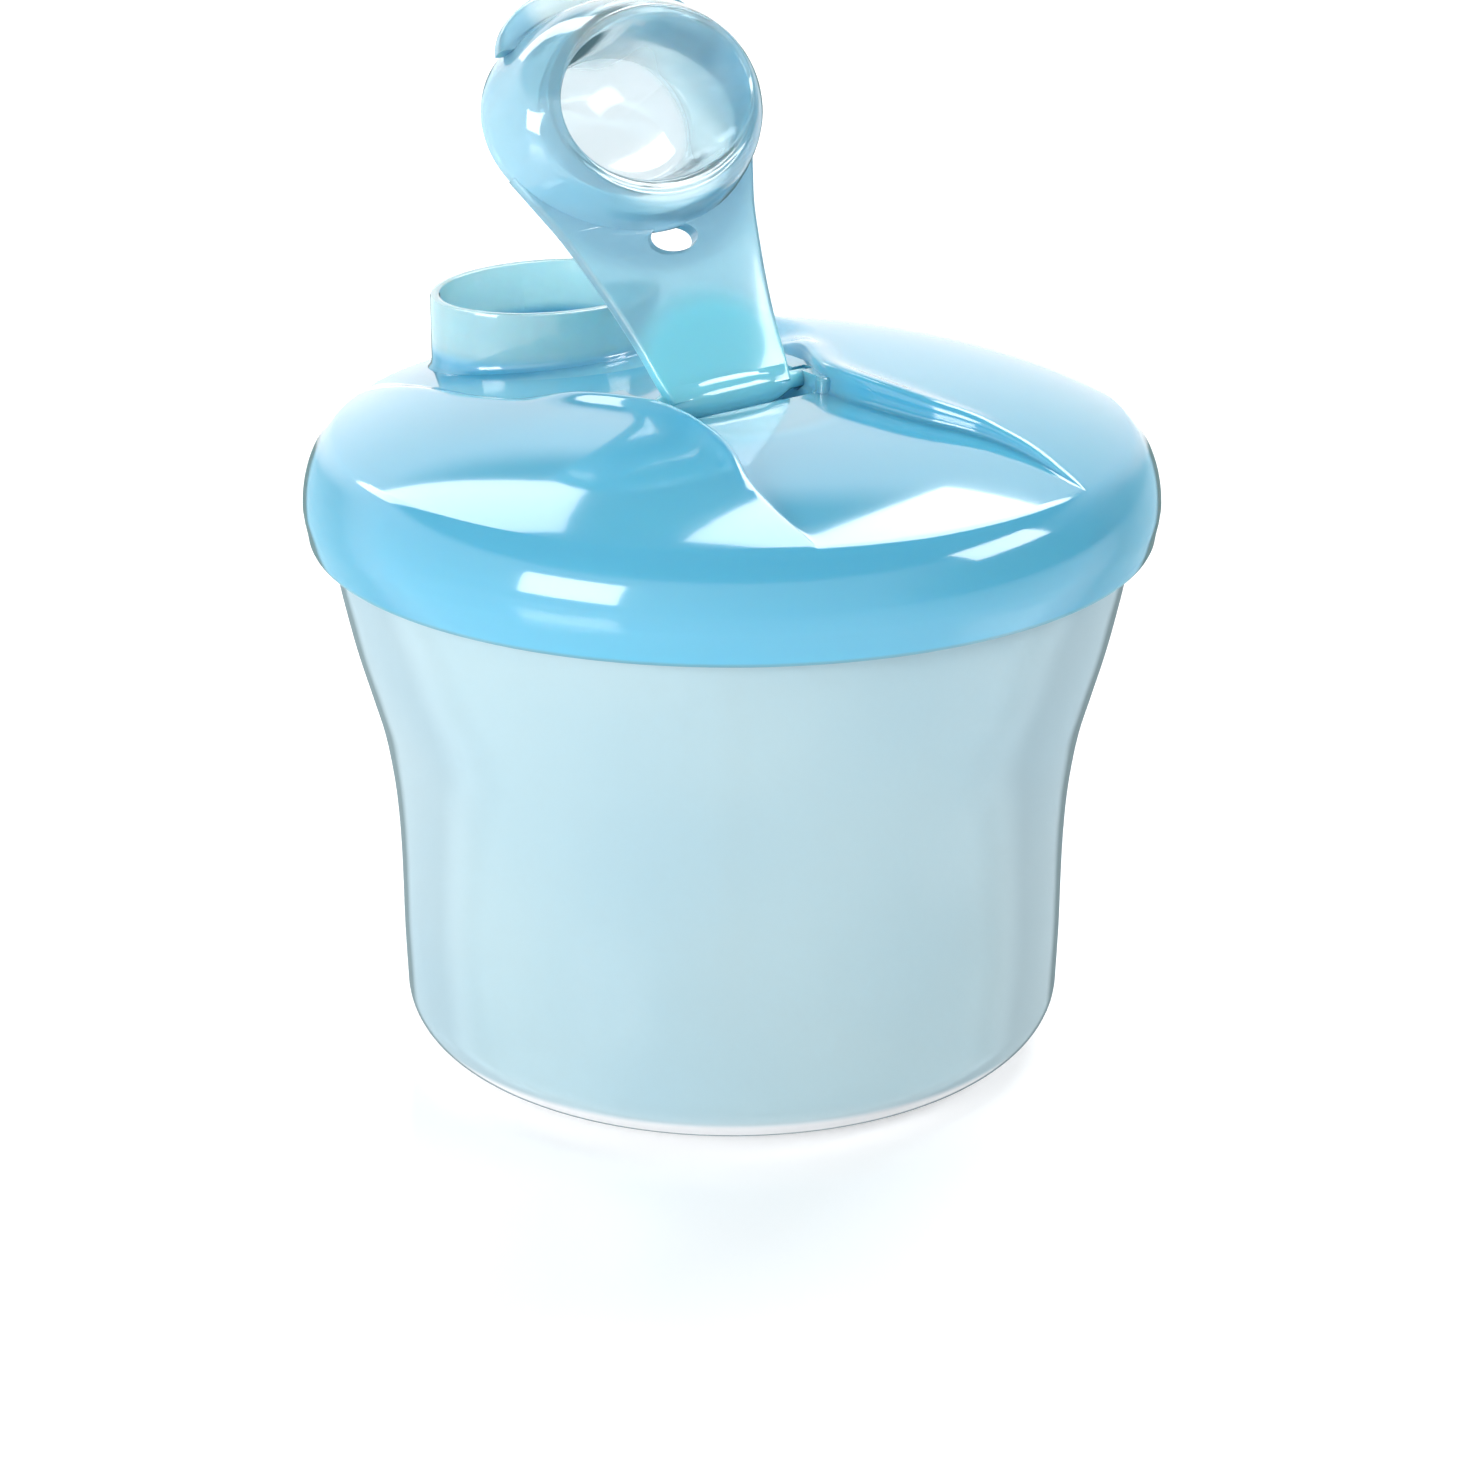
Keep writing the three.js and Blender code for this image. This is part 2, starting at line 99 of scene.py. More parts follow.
def spinProfile(bm, profile, steps):
    # a profile of (radius, height) turned once about Z
    corners = [bm.verts.new((r, 0, z)) for r, z in profile]
    edges = [bm.edges.new(pair) for pair in zip(corners, corners[1:])]
    bmesh.ops.spin(bm, geom=corners + edges, cent=(0, 0, 0), axis=(0, 0, 1),
                   angle=math.tau, steps=steps, use_merge=True)
    bmesh.ops.remove_doubles(bm, verts=bm.verts, dist=1e-5)
    faceOut(bm)


def pushFace(bm, face, keep=False):
    # draws a face out and gives the new one, with the old one left as the foot or taken away
    pushed = bmesh.ops.extrude_face_region(bm, geom=[face])["geom"]
    if not keep:
        bmesh.ops.delete(bm, geom=[face], context="FACES_ONLY")
    return next(g for g in pushed if isinstance(g, bmesh.types.BMFace))


def toCapLine(bm, z=0):
    # from the cap's line frame to the lid's frame
    bmesh.ops.rotate(bm, verts=bm.verts, cent=(0, 0, 0),
                     matrix=Matrix.Rotation(math.radians(capLine["azimuth"]), 3, "Z"))
    bmesh.ops.translate(bm, verts=bm.verts, vec=(capLine["hingeX"], capLine["hingeY"], z))


def makeObject(bm, name):
    # an object of the bmesh, still in millimetres
    mesh = bpy.data.meshes.new(name)
    bm.to_mesh(mesh)
    bm.free()
    obj = bpy.data.objects.new(name, mesh)
    bpy.context.collection.objects.link(obj)
    return obj


def combine(obj, tool, operation):
    # joins or cuts with another closed piece, and keeps the result as the mesh
    step = obj.modifiers.new("combine", "BOOLEAN")
    step.operation = operation
    step.solver = "EXACT"
    step.object = tool
    graph = bpy.context.evaluated_depsgraph_get()
    result = bpy.data.meshes.new_from_object(obj.evaluated_get(graph))
    obj.modifiers.clear()
    bm = bmesh.new()
    bm.from_mesh(result)
    bmesh.ops.triangulate(bm, faces=[f for f in bm.faces if len(f.verts) > 4])
    bm.to_mesh(obj.data)
    bm.free()
    bpy.data.meshes.remove(result)
    bpy.data.objects.remove(tool)


def dress(obj, name, material, body, node, sharp):
    # no sliver left by a cut, smooth shading, material, and the place in the frame
    obj.name = name
    mesh = obj.data
    mesh.name = name
    mesh.transform(Matrix.Scale(mm, 4))
    bm = bmesh.new()
    bm.from_mesh(mesh)
    bmesh.ops.dissolve_degenerate(bm, edges=bm.edges, dist=1e-7)
    bm.to_mesh(mesh)
    bm.free()
    mesh.shade_smooth()
    mesh.set_sharp_from_angle(angle=math.radians(sharp))
    mesh.materials.clear()
    mesh.materials.append(material)
    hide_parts(node)
    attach(obj, body)
    print(name, len(mesh.polygons), "faces")
    return obj


# the plastics

def capPoint(u, v, z):
    # a point of the cap's own frame, where the cap stands open
    point = Matrix.Rotation(-math.radians(capLine["open"]), 3, "Y") @ Vector((u, v, z))
    point.rotate(Matrix.Rotation(math.radians(capLine["azimuth"]), 3, "Z"))
    return point + Vector((capLine["hingeX"], capLine["hingeY"], capLine["hingeZ"]))


def capAxis():
    return capPoint(0, 0, 1) - capPoint(0, 0, 0)


def spoutPoint():
    turn = math.radians(capLine["azimuth"])
    return Vector((capLine["hingeX"] + capLine["spoutAt"] * math.cos(turn),
                   capLine["hingeY"] + capLine["spoutAt"] * math.sin(turn), 0))


# slant: the range of turning away over which a wall loses its mirror and takes painted shade (slantShade
# multiplied into its colour)
# line: the same for the painted shade of a dark outline where a wall turns out of sight; edgeCoat: the
# share of the coat left at a slant
# patches differ from the plastic round them, near a point or an axis, or over a rise of height, or both
plastics = {
    "cup": {
        "colour": (0.69, 0.92, 1.0), "transmission": 0.52, "roughness": 0.13, "ior": 1.42,
        "coat": 0, "subsurface": 0, "bump": 0.03, "grain": 900,
        "slant": (0.4, 0.6), "slantShade": (0.63, 0.62, 0.63),
        "line": (0.8, 0.88), "outlineShadeColour": (0.20, 0.27, 0.29),
        "patches": [
            # the foot's lowest band is near white: a painted highlight of the floor's light in the foot's
            # edge
            {"rise": (4.4, 3.2), "colour": (0.97, 0.98, 1.0), "transmission": 0.3},
        ],
    },
    "divider": {
        "colour": (0.36, 0.60, 0.72), "transmission": 0, "roughness": 0.3, "ior": 1.42,
        "coat": 0, "subsurface": 0, "bump": 0,
        "slant": (0.5, 0.7), "slantShade": (0.8, 0.85, 0.9),
        "line": (0.85, 0.95), "outlineShadeColour": (0.24, 0.32, 0.34),
        "patches": [
            # the core is darker: painted shade where the blades meet, and partly the deeper colour of the
            # thicker core
            {"near": Vector((0, 0, 0)), "axis": Vector((0, 0, 1)), "reach": (3.2, 1.8),
             "colour": (0.14, 0.32, 0.40)},
        ],
    },
    "lid": {
        "colour": (0.115, 0.52, 0.75), "transmission": 0.2, "roughness": 0.1, "ior": 1.52,
        "coat": 0.7, "coatRoughness": 0.04,
        "subsurface": 0.5, "radius": (0.35, 0.8, 1.0), "scale": 0.003, "bump": 0.012, "grain": 220,
        "slant": (0.4, 0.6), "slantShade": (0.85, 0.72, 0.72), "edgeCoat": 0.6,
        "line": (0.81, 0.88), "outlineShadeColour": (0.10, 0.17, 0.18),
        "patches": [
            # the spout's wall is thin and stands free, so it is paler and clearer; its paler colour also
            # paints light into the shade inside the bore
            {"near": spoutPoint(), "axis": Vector((0, 0, 1)), "reach": (18.6, 18.4), "rise": (81.3, 83.6),
             "colour": (0.56, 0.88, 0.98), "transmission": 0.45},
            # the walls round the hinge are thin too, and the paler colour there also paints light into the
            # pocket's shade
            {"near": capPoint(0, 0, 0), "reach": (17, 12),
             "colour": (0.24, 0.66, 0.86), "transmission": 0.4},
            # the skirt's lower edge is darker: painted shadow in the gap between lid and cup
            {"rise": (66.3, 65.9), "colour": (0.12, 0.33, 0.42), "transmission": 0.1},
        ],
    },
    "cap": {
        "colour": (0.43, 0.76, 0.89), "transmission": 0.62, "roughness": 0.1, "ior": 1.48,
        "coat": 1, "coatRoughness": 0.04,
        "subsurface": 0.4, "radius": (0.35, 0.8, 1.0), "scale": 0.003, "bump": 0.012, "grain": 220,
        "slant": (0.4, 0.6), "slantShade": (0.85, 0.8, 0.82), "edgeCoat": 0.6,
        "line": (0.76, 0.86), "outlineShadeColour": (0.10, 0.19, 0.21),
        "patches": [
            # the head's outer wall is deeper in colour; the plug and the lip round the well are clearer,
            # and paler with a painted highlight
            {"near": capPoint(35, 0, 5), "reach": (21, 17),
             "colour": (0.33, 0.62, 0.77), "transmission": 0.5},
            {"near": capPoint(35, 0, 5), "axis": capAxis(), "reach": (13.4, 11.5),
             "colour": (0.66, 0.88, 0.95), "transmission": 0.75},
            # the well's floor is thin and clear
            {"near": capPoint(capLine["spoutAt"], 0, 1.6), "reach": (11, 8.5),
             "colour": (0.69, 0.78, 0.82), "transmission": 0.9},
            # the arm's foot is thick and less clear; its bright deep blue is painted light, the lid's blue
            # seen through the clear arm over the shade by the pocket. The tab is pale
            {"near": capPoint(0, 0, 0), "reach": (15, 10),
             "colour": (0.27, 0.80, 0.99), "transmission": 0.2},
            {"near": capPoint(52, 0, 4.6), "reach": (11, 7),
             "colour": (0.74, 0.90, 0.95), "transmission": 0.6},
        ],
    },
}

# where a level face turns out of sight and takes the painted dark outline, and what is left of the
# clearness at a slant and on the line
farLine = (0.91, 0.97)
slantClear = 0.4
lineClear = 0.1


def makePlastic(name):
    # moulded plastic: light passes through, with faint flow marks and an uneven gloss; walls seen at a
    # slant get painted shade, and a painted dark outline where they turn out of sight
    look = plastics[name]
    material = bpy.data.materials.new(name + "Plastic")
    material.use_nodes = True
    nodes, links = material.node_tree.nodes, material.node_tree.links
    shader = nodes["Principled BSDF"]
    shader.inputs["IOR"].default_value = look["ior"]
    if look["subsurface"]:
        shader.inputs["Subsurface Weight"].default_value = look["subsurface"]
        shader.inputs["Subsurface Radius"].default_value = look["radius"]
        shader.inputs["Subsurface Scale"].default_value = look["scale"]
    place = nodes.new("ShaderNodeTexCoord")
    flow = nodes.new("ShaderNodeTexNoise")
    flow.inputs["Scale"].default_value = 28
    flow.inputs["Detail"].default_value = 1
    links.new(place.outputs["Object"], flow.inputs["Vector"])
    tint = nodes.new("ShaderNodeValToRGB")
    r, g, b = look["colour"]
    tint.color_ramp.elements[0].position = 0.3
    tint.color_ramp.elements[0].color = (r * 0.94, g * 0.97, b * 0.985, 1)
    tint.color_ramp.elements[1].position = 0.7
    tint.color_ramp.elements[1].color = (min(r * 1.05, 1), min(g * 1.02, 1), min(b * 1.01, 1), 1)
    links.new(flow.outputs["Fac"], tint.inputs["Fac"])
    slant, outline = edgeOn(nodes, links, look)
    through = look["transmission"]
    clear = mapTo(nodes, links, slant, through, through * slantClear) if through else None
    # painted shade: the colour darkens where a wall is seen at a slant
    colour = blend(nodes, links, "MULTIPLY", slant, tint.outputs["Color"], look["slantShade"])
    for patch in look["patches"]:
        mask = patchMask(nodes, links, place, patch)
        colour = blend(nodes, links, "MIX", mask, colour, patch["colour"])
        if clear:
            thin = mapTo(nodes, links, mask, 0, patch["transmission"])
            links.new(clear, thin.node.inputs["To Min"])
            clear = thin
    # painted shade: a dark outline where a wall turns out of sight
    colour = blend(nodes, links, "MIX", outline, colour, look["outlineShadeColour"])
    links.new(colour, shader.inputs["Base Color"])
    unlined = mapTo(nodes, links, outline, 1, lineClear)
    if clear:
        links.new(product(nodes, links, clear, unlined), shader.inputs["Transmission Weight"])
    links.new(mapTo(nodes, links, slant, 0.5, 0), shader.inputs["Specular IOR Level"])
    if look["coat"]:
        shader.inputs["Coat Roughness"].default_value = look["coatRoughness"]
        shine = mapTo(nodes, links, slant, look["coat"], look["coat"] * look["edgeCoat"])
        links.new(product(nodes, links, shine, unlined), shader.inputs["Coat Weight"])
    gloss = nodes.new("ShaderNodeMapRange")
    gloss.inputs["From Min"].default_value = 0.3
    gloss.inputs["From Max"].default_value = 0.7
    gloss.inputs["To Min"].default_value = look["roughness"] * 0.85
    gloss.inputs["To Max"].default_value = look["roughness"] * 1.2
    links.new(flow.outputs["Fac"], gloss.inputs["Value"])
    links.new(gloss.outputs["Result"], shader.inputs["Roughness"])
    if look["bump"]:
        grain = nodes.new("ShaderNodeTexNoise")
        grain.inputs["Scale"].default_value = look["grain"]
        grain.inputs["Detail"].default_value = 0
        links.new(place.outputs["Object"], grain.inputs["Vector"])
        bump = nodes.new("ShaderNodeBump")
        bump.inputs["Strength"].default_value = look["bump"]
        bump.inputs["Distance"].default_value = 0.0004
        links.new(grain.outputs["Fac"], bump.inputs["Height"])
        links.new(bump.outputs["Normal"], shader.inputs["Normal"])
    return material


def mapTo(nodes, links, source, start, end, low=0, high=1):
    # a value that goes from start to end as the source goes from low to high
    change = nodes.new("ShaderNodeMapRange")
    change.interpolation_type = "SMOOTHSTEP"
    change.inputs["From Min"].default_value = low
    change.inputs["From Max"].default_value = high
    change.inputs["To Min"].default_value = start
    change.inputs["To Max"].default_value = end
    links.new(source, change.inputs["Value"])
    return change.outputs["Result"]


def product(nodes, links, one, other, operation="MULTIPLY"):
    # two values multiplied, or the result of another operation on them
    both = nodes.new("ShaderNodeMath")
    both.operation = operation
    links.new(one, both.inputs[0])
    links.new(other, both.inputs[1])
    return both.outputs["Value"]


def blend(nodes, links, way, factor, colour, other):
    # a colour blended with a fixed one
    mix = nodes.new("ShaderNodeMix")
    mix.data_type = "RGBA"
    mix.blend_type = way
    mix.inputs["B"].default_value = (*other, 1)
    links.new(factor, mix.inputs["Factor"])
    links.new(colour, mix.inputs["A"])
    return mix.outputs["Result"]


def edgeOn(nodes, links, look):
    # how far an upright wall is seen at a slant, and where any wall turns out of sight: the masks for the
    # painted shade and the painted dark outline
    layer = nodes.new("ShaderNodeLayerWeight")
    layer.inputs["Blend"].default_value = 0.5
    facing = layer.outputs["Facing"]
    surface = nodes.new("ShaderNodeNewGeometry")
    parts = nodes.new("ShaderNodeSeparateXYZ")
    links.new(surface.outputs["Normal"], parts.inputs["Vector"])
    upright = mapTo(nodes, links, parts.outputs["Z"], 1, 0, 0.5, 0.85)
    slant = product(nodes, links, mapTo(nodes, links, facing, 0, 1, *look["slant"]), upright)
    wall = product(nodes, links, mapTo(nodes, links, facing, 0, 1, *look["line"]), upright)
    level = mapTo(nodes, links, facing, 0, 1, *farLine)
    return slant, product(nodes, links, wall, level, "MAXIMUM")


def patchMask(nodes, links, place, patch):
    # one on the patch and zero away from it
    masks = []
    if "near" in patch:
        away = nodes.new("ShaderNodeVectorMath")
        away.operation = "SUBTRACT"
        away.inputs[1].default_value = patch["near"] * mm
        links.new(place.outputs["Object"], away.inputs[0])
        apart = away.outputs["Vector"]
        if "axis" in patch:
            across = nodes.new("ShaderNodeVectorMath")
            across.operation = "CROSS_PRODUCT"
            across.inputs[1].default_value = patch["axis"]
            links.new(apart, across.inputs[0])
            apart = across.outputs["Vector"]
        length = nodes.new("ShaderNodeVectorMath")
        length.operation = "LENGTH"
        links.new(apart, length.inputs[0])
        outer, inner = patch["reach"]
        masks.append(mapTo(nodes, links, length.outputs["Value"], 1, 0, inner * mm, outer * mm))
    if "rise" in patch:
        parts = nodes.new("ShaderNodeSeparateXYZ")
        links.new(place.outputs["Object"], parts.inputs["Vector"])
        low, high = patch["rise"]
        masks.append(mapTo(nodes, links, parts.outputs["Z"], 0, 1, low * mm, high * mm))
    return product(nodes, links, *masks) if len(masks) == 2 else masks[0]


# the cup

cup = {
    "side": [
        [40.9, 7.1], [41.15, 14], [41.22, 20], [41.32, 25.4], [41.58, 30.4], [42.12, 35.6],
        [43.1, 41.2], [44.5, 46.3], [46.05, 51.8], [47.25, 57], [48.15, 61.5], [48.6, 65.5],
        [48.7, 69.4],
    ],
    "cornerReach": 8.2,
    "cornerRise": 7.1,
    "wall": 1.5,
    "floor": 1.8,
    "rim": 73.7,
    "bead": 49.3,
    "beadLow": 69.4,
    "beadHigh": 71.2,
    "steps": 180,
}


def cupOutline(inset, floorHeight):
    # from the axis out along the floor, round the foot's corner and up the side
    centre = cup["side"][0][0] - cup["cornerReach"]
    points = [[0, floorHeight], [centre * 0.5, floorHeight]]
    for i in range(17):
        a = math.pi / 2 * i / 16
        points.append([centre + (cup["cornerReach"] - inset) * math.sin(a),
                       cup["cornerRise"] - (cup["cornerRise"] - floorHeight) * math.cos(a)])
    points += [[r - inset, z] for r, z in smoothTable(cup["side"], 48)[1:]]
    return points


def makeCup(material):
    bm = bmesh.new()
    collar = cup["side"][-1][0]
    low, high, bead, rim = cup["beadLow"], cup["beadHigh"], cup["bead"], cup["rim"]
    inner = collar - cup["wall"]
    outside = cupOutline(0, 0) + [
        [bead - 0.15, low + 0.35], [bead, low + 0.7], [bead, high - 0.7], [bead - 0.15, high - 0.35],
        [collar, high], [collar, rim - 0.5], [collar - 0.15, rim - 0.12], [collar - 0.5, rim],
        [inner + 0.5, rim], [inner + 0.15, rim - 0.12], [inner, rim - 0.5],
    ]
    spinProfile(bm, outside + cupOutline(cup["wall"], cup["floor"])[::-1], cup["steps"])
    return dress(makeObject(bm, "cupShell"), "cupShell", material, "base", "cup", 50)


# the divider

divider = {
    "blades": 3,
    "firstBlade": 90,
    "thickness": 1.4,
    "core": 2.3,
    "wallGap": 0.5,
    "floorGap": 0.3,
    "top": 77,
    "topRadius": 42,
    "shoulder": 74.4,
}


def bladeReach(steps):
    # (height, reach) of a blade from its foot to its top
    foot = cup["floor"] + divider["floorGap"]
    edge = cupOutline(cup["wall"] + divider["wallGap"], foot)[2:]
    side = edge[-1][0]
    rows = [[z, r] for r, z in edge] + [[divider["shoulder"] - 2, side], [divider["shoulder"], side - 1.5]]
    for i in range(1, steps + 1):
        a = math.pi / 2 * i / steps
        rows.append([divider["shoulder"] + (divider["top"] - divider["shoulder"]) * math.sin(a),
                     divider["topRadius"] + (side - 1.5 - divider["topRadius"]) * math.cos(a)])
    return rows


def makeDivider(material):
    # a three-armed plan, pushed up row by row to the cup's inside
    rows = bladeReach(8)
    half = divider["thickness"] / 2
    bm = bmesh.new()
    arms = []
    corners = []
    for i in range(divider["blades"]):
        turn = math.radians(divider["firstBlade"] + 360 / divider["blades"] * i)
        along = Vector((math.cos(turn), math.sin(turn), 0))
        side = Vector((-along.y, along.x, 0))
        arms.append(along)
        for j in range(3):
            a = turn - math.radians(60 - 15 * (j + 1))
            corners.append(Vector((math.cos(a), math.sin(a), 0)) * divider["core"])
        corners += [along * (divider["core"] + 1.2) - side * half, along * rows[0][1] - side * half,
                    along * rows[0][1] + side * half, along * (divider["core"] + 1.2) + side * half]
    face = bm.faces.new([bm.verts.new((c.x, c.y, rows[0][0])) for c in corners])
    for i, (z, reach) in enumerate(rows[1:]):
        face = pushFace(bm, face, i == 0)
        for v in face.verts:
            v.co.z = z
            flat = Vector((v.co.x, v.co.y, 0))
            if flat.length > 2 * divider["core"]:
                along = max(arms, key=lambda d: d.dot(flat))
                v.co.x, v.co.y = (flat + along * (reach - flat.dot(along)))[:2]
    faceOut(bm)
    obj = makeObject(bm, "dividerBlades")
    return dress(obj, "dividerBlades", material, "base", "divider", 40)


# the lid

lid = {
    "bottom": 65.6,
    "bottomRadius": 51.4,
    "maxRadius": 52,
    "shoulder": 69.6,
    "bandReach": 5.9,
    "bandRise": 9.3,
    "creaseRadius": 48.2,
    "wall": 1.5,
    "bead": 49.05,
    "beadLow": 67.2,
    "beadHigh": 68.8,
    "ledge": 74,
    "ledgeRadius": 47,
    "roomRadius": 45.4,
    "domeApex": 84.8,
    "domePower": 3.4,
    "channelApex": 82.4,
    "channelPower": 3,
    "blendFrom": 4,
    "blendTo": 18,
    "blendReach": 5,
    "crestHeight": 0.9,
    "crestStart": 3.76,  # the crest's two ends, as places in the channel's table
    "crestEnd": 13.14,
    "columns": 150,
    "padRows": 46,
}

# half width of the channel along the cap's line
channelHalf = [
    [-52, 20.6], [-46, 19.4], [-41, 18.6], [-34, 18.3], [-27.4, 17], [-21.5, 14.5], [-16, 12.9],
    [-9, 11.9], [-4, 12], [0, 13.4], [4, 15.4], [8.3, 17.3], [12.5, 18.9], [17, 20], [24, 20.6],
    [36, 20.8], [52, 20.8],
]
channelEdge = smoothTable(channelHalf, 150)
channelPlace = [[row[0], i] for i, row in enumerate(channelHalf)]

# how far up its step a pad's edge is, at distances out from the channel's edge
padEdge = [
    [-1.1, 0], [-0.6, 0.015], [-0.3, 0.06], [-0.1, 0.16], [0, 0.32], [0.05, 0.6], [0.12, 0.78],
    [0.25, 0.9], [0.45, 0.965], [0.8, 1],
]

# the crest's section: share of its height at distances out from the channel's edge
crestSection = [
    [-0.05, 0], [0.05, 0.4], [0.45, 0.85], [1.1, 1], [1.7, 0.92], [2.4, 0.72], [3.4, 0.4], [4.5, 0.12],
    [5.5, 0],
]
crestTop = 1.1


def creaseHeight():
    reach = (lid["creaseRadius"] - (lid["maxRadius"] - lid["bandReach"])) / lid["bandReach"]
    return lid["shoulder"] + lid["bandRise"] * math.sqrt(1 - reach * reach)


def domeHeight(r):
    fall = lid["domeApex"] - creaseHeight()
    return lid["domeApex"] - fall * (r / lid["creaseRadius"]) ** lid["domePower"]


def channelHeight(r):
    fall = lid["channelApex"] - creaseHeight()
    return lid["channelApex"] - fall * (r / lid["creaseRadius"]) ** lid["channelPower"]


def axisDistance(u, v):
    # distance of a point of the cap's line frame from the lid's own axis
    turn = math.radians(capLine["azimuth"])
    x = capLine["hingeX"] + u * math.cos(turn) - v * math.sin(turn)
    y = capLine["hingeY"] + u * math.sin(turn) + v * math.cos(turn)
    return math.hypot(x, y)


def lidHeight(u, v):
    # the lid's upper face: channel floor, step, crest and pad
    r = axisDistance(u, v)
    off = abs(v) - valueAt(channelEdge, u)
    low = channelHeight(r)
    share = ease((u - lid["blendFrom"]) / (lid["blendTo"] - lid["blendFrom"]))
    pad = low + (domeHeight(r) - low) * (1 - share * (1 - ease(off / lid["blendReach"])))
    t = (valueAt(channelPlace, u) - lid["crestStart"]) / (lid["crestEnd"] - lid["crestStart"])
    swell = math.sin(math.pi * t) ** 0.8 if 0 < t < 1 else 0
    wide = 0.25 + 0.75 * swell
    place = off if off < crestTop else crestTop + (off - crestTop) / wide
    crest = lid["crestHeight"] * swell * valueAt(crestSection, place)
    return low + (pad + crest - low) * valueAt(padEdge, off)


def underHeight(u, v):
    # the lid's lower face follows the upper one softly
    r = axisDistance(u, v)
    off = abs(v) - valueAt(channelEdge, u)
    low = channelHeight(r)
    share = ease((u - lid["blendFrom"]) / (lid["blendTo"] - lid["blendFrom"]))
    rise = (domeHeight(r) - low) * (1 - share * (1 - ease(off / lid["blendReach"])))
    return low + rise * ease((off - 1) / 1.5) - lid["wall"]


def crossing(centre, radius, row, outward):
    # where a row of the lid's grid meets a circle, going outward from its middle
    start, end = centre[0], centre[0] + outward * radius * 1.05
    for _ in range(40):
        middle = (start + end) / 2
        inside = math.hypot(middle - centre[0], row(middle) - centre[1]) < radius
        start, end = (middle, end) if inside else (start, middle)
    return start


def lidGrid(radius, height, columns, padRows, edgeRows, floorRows):
    # a grid whose rows follow the channel's edges and whose ends lie on a circle
    turn = math.radians(capLine["azimuth"])
    centre = (-capLine["hingeX"] * math.cos(turn) - capLine["hingeY"] * math.sin(turn),
              capLine["hingeX"] * math.sin(turn) - capLine["hingeY"] * math.cos(turn))
    rows = []
    for side in (-1, 1):
        summit = radius + side * centre[1]
        last = edgeRows[-1]
        for off in edgeRows:
            rows.append((side, off, 0, summit))
        for i in range(1, padRows + 1):
            rows.append((side, last, math.sin(math.pi / 2 * i / padRows), summit))
    for i in range(-floorRows, floorRows + 1):
        rows.append((0, i / floorRows, 0, 0))

    def lineOf(row):
        side, off, share, summit = row
        inner = edgeRows[0]
        if side == 0:
            return lambda u: off * (valueAt(channelEdge, u) + inner) * (floorRows / (floorRows + 1))
        return lambda u: side * ((valueAt(channelEdge, u) + off) * (1 - share) + summit * share)

    lines = sorted((lineOf(row) for row in rows), key=lambda line: line(centre[0]))
    bm = bmesh.new()
    bmesh.ops.create_grid(bm, x_segments=columns, y_segments=len(lines) - 1, size=1)
    ends = [(crossing(centre, radius, line, -1), crossing(centre, radius, line, 1)) for line in lines]
    for vert in bm.verts:
        k = round((vert.co.y + 1) / 2 * (len(lines) - 1))
        share = (vert.co.x + 1) / 2
        u = ends[k][0] + (ends[k][1] - ends[k][0]) * share
        if k in (0, len(lines) - 1):
            u = centre[0]
        v = lines[k](u)
        vert.co = (u, v, height(u, v))
    bmesh.ops.remove_doubles(bm, verts=bm.verts, dist=1e-4)
    faceOut(bm)
    toCapLine(bm)
    return bm


def pushLoop(bm, edges, radius, z):
    # draws an open edge out to another radius and height
    pushed = bmesh.ops.extrude_edge_only(bm, edges=edges)["geom"]
    for v in [g for g in pushed if isinstance(g, bmesh.types.BMVert)]:
        scale = radius / math.hypot(v.co.x, v.co.y)
        v.co = (v.co.x * scale, v.co.y * scale, z)
    return [g for g in pushed if isinstance(g, bmesh.types.BMEdge)]


def lidShell():
    edgeRows = [-1.1, -0.8, -0.55, -0.35, -0.2, -0.1, -0.03, 0.01, 0.04, 0.08, 0.14, 0.22, 0.34, 0.5,
                0.7, 0.95, 1.25, 1.6, 2.0, 2.5, 3.1, 3.8]
    bm = lidGrid(lid["creaseRadius"], lidHeight, lid["columns"], lid["padRows"], edgeRows, 12)
    edges = [e for e in bm.edges if e.is_boundary]
    reach, shoulder = lid["bandReach"], lid["shoulder"]
    centre = lid["maxRadius"] - reach
    last = math.acos((lid["creaseRadius"] - centre) / reach)
    profile = []
    for i in range(1, 25):
        a = last * (1 - i / 24)
        profile.append((centre + reach * math.cos(a), shoulder + lid["bandRise"] * math.sin(a)))
    outer, low = lid["bottomRadius"], lid["bottom"]
    skirt = outer - lid["wall"]
    profile += [
        (outer + 0.45, shoulder - 1.2), (outer + 0.2, shoulder - 2.4), (outer + 0.02, low + 0.45),
        (outer - 0.14, low + 0.12), (outer - 0.45, low), (skirt + 0.45, low), (skirt + 0.14, low + 0.12),
        (skirt, low + 0.45), (skirt, lid["beadLow"]), (lid["bead"], lid["beadLow"] + 0.4),
        (lid["bead"], lid["beadHigh"] - 0.6), (skirt, lid["beadHigh"]), (skirt, lid["ledge"]),
        (lid["ledgeRadius"], lid["ledge"]),
    ]
    for radius, z in profile:
        edges = pushLoop(bm, edges, radius, z)
    under = lidGrid(lid["roomRadius"], underHeight, lid["columns"], lid["padRows"], edgeRows, 12)
    spare = bpy.data.meshes.new("spare")
    under.to_mesh(spare)
    under.free()
    bm.from_mesh(spare)
    bpy.data.meshes.remove(spare)
    bmesh.ops.bridge_loops(bm, edges=[e for e in bm.edges if e.is_boundary])
    faceOut(bm)
    return makeObject(bm, "lidShell")


spout = {"across": 15.7, "along": 12.8, "wall": 1.2, "rim": 88.8, "foot": 0.5, "steps": 144}


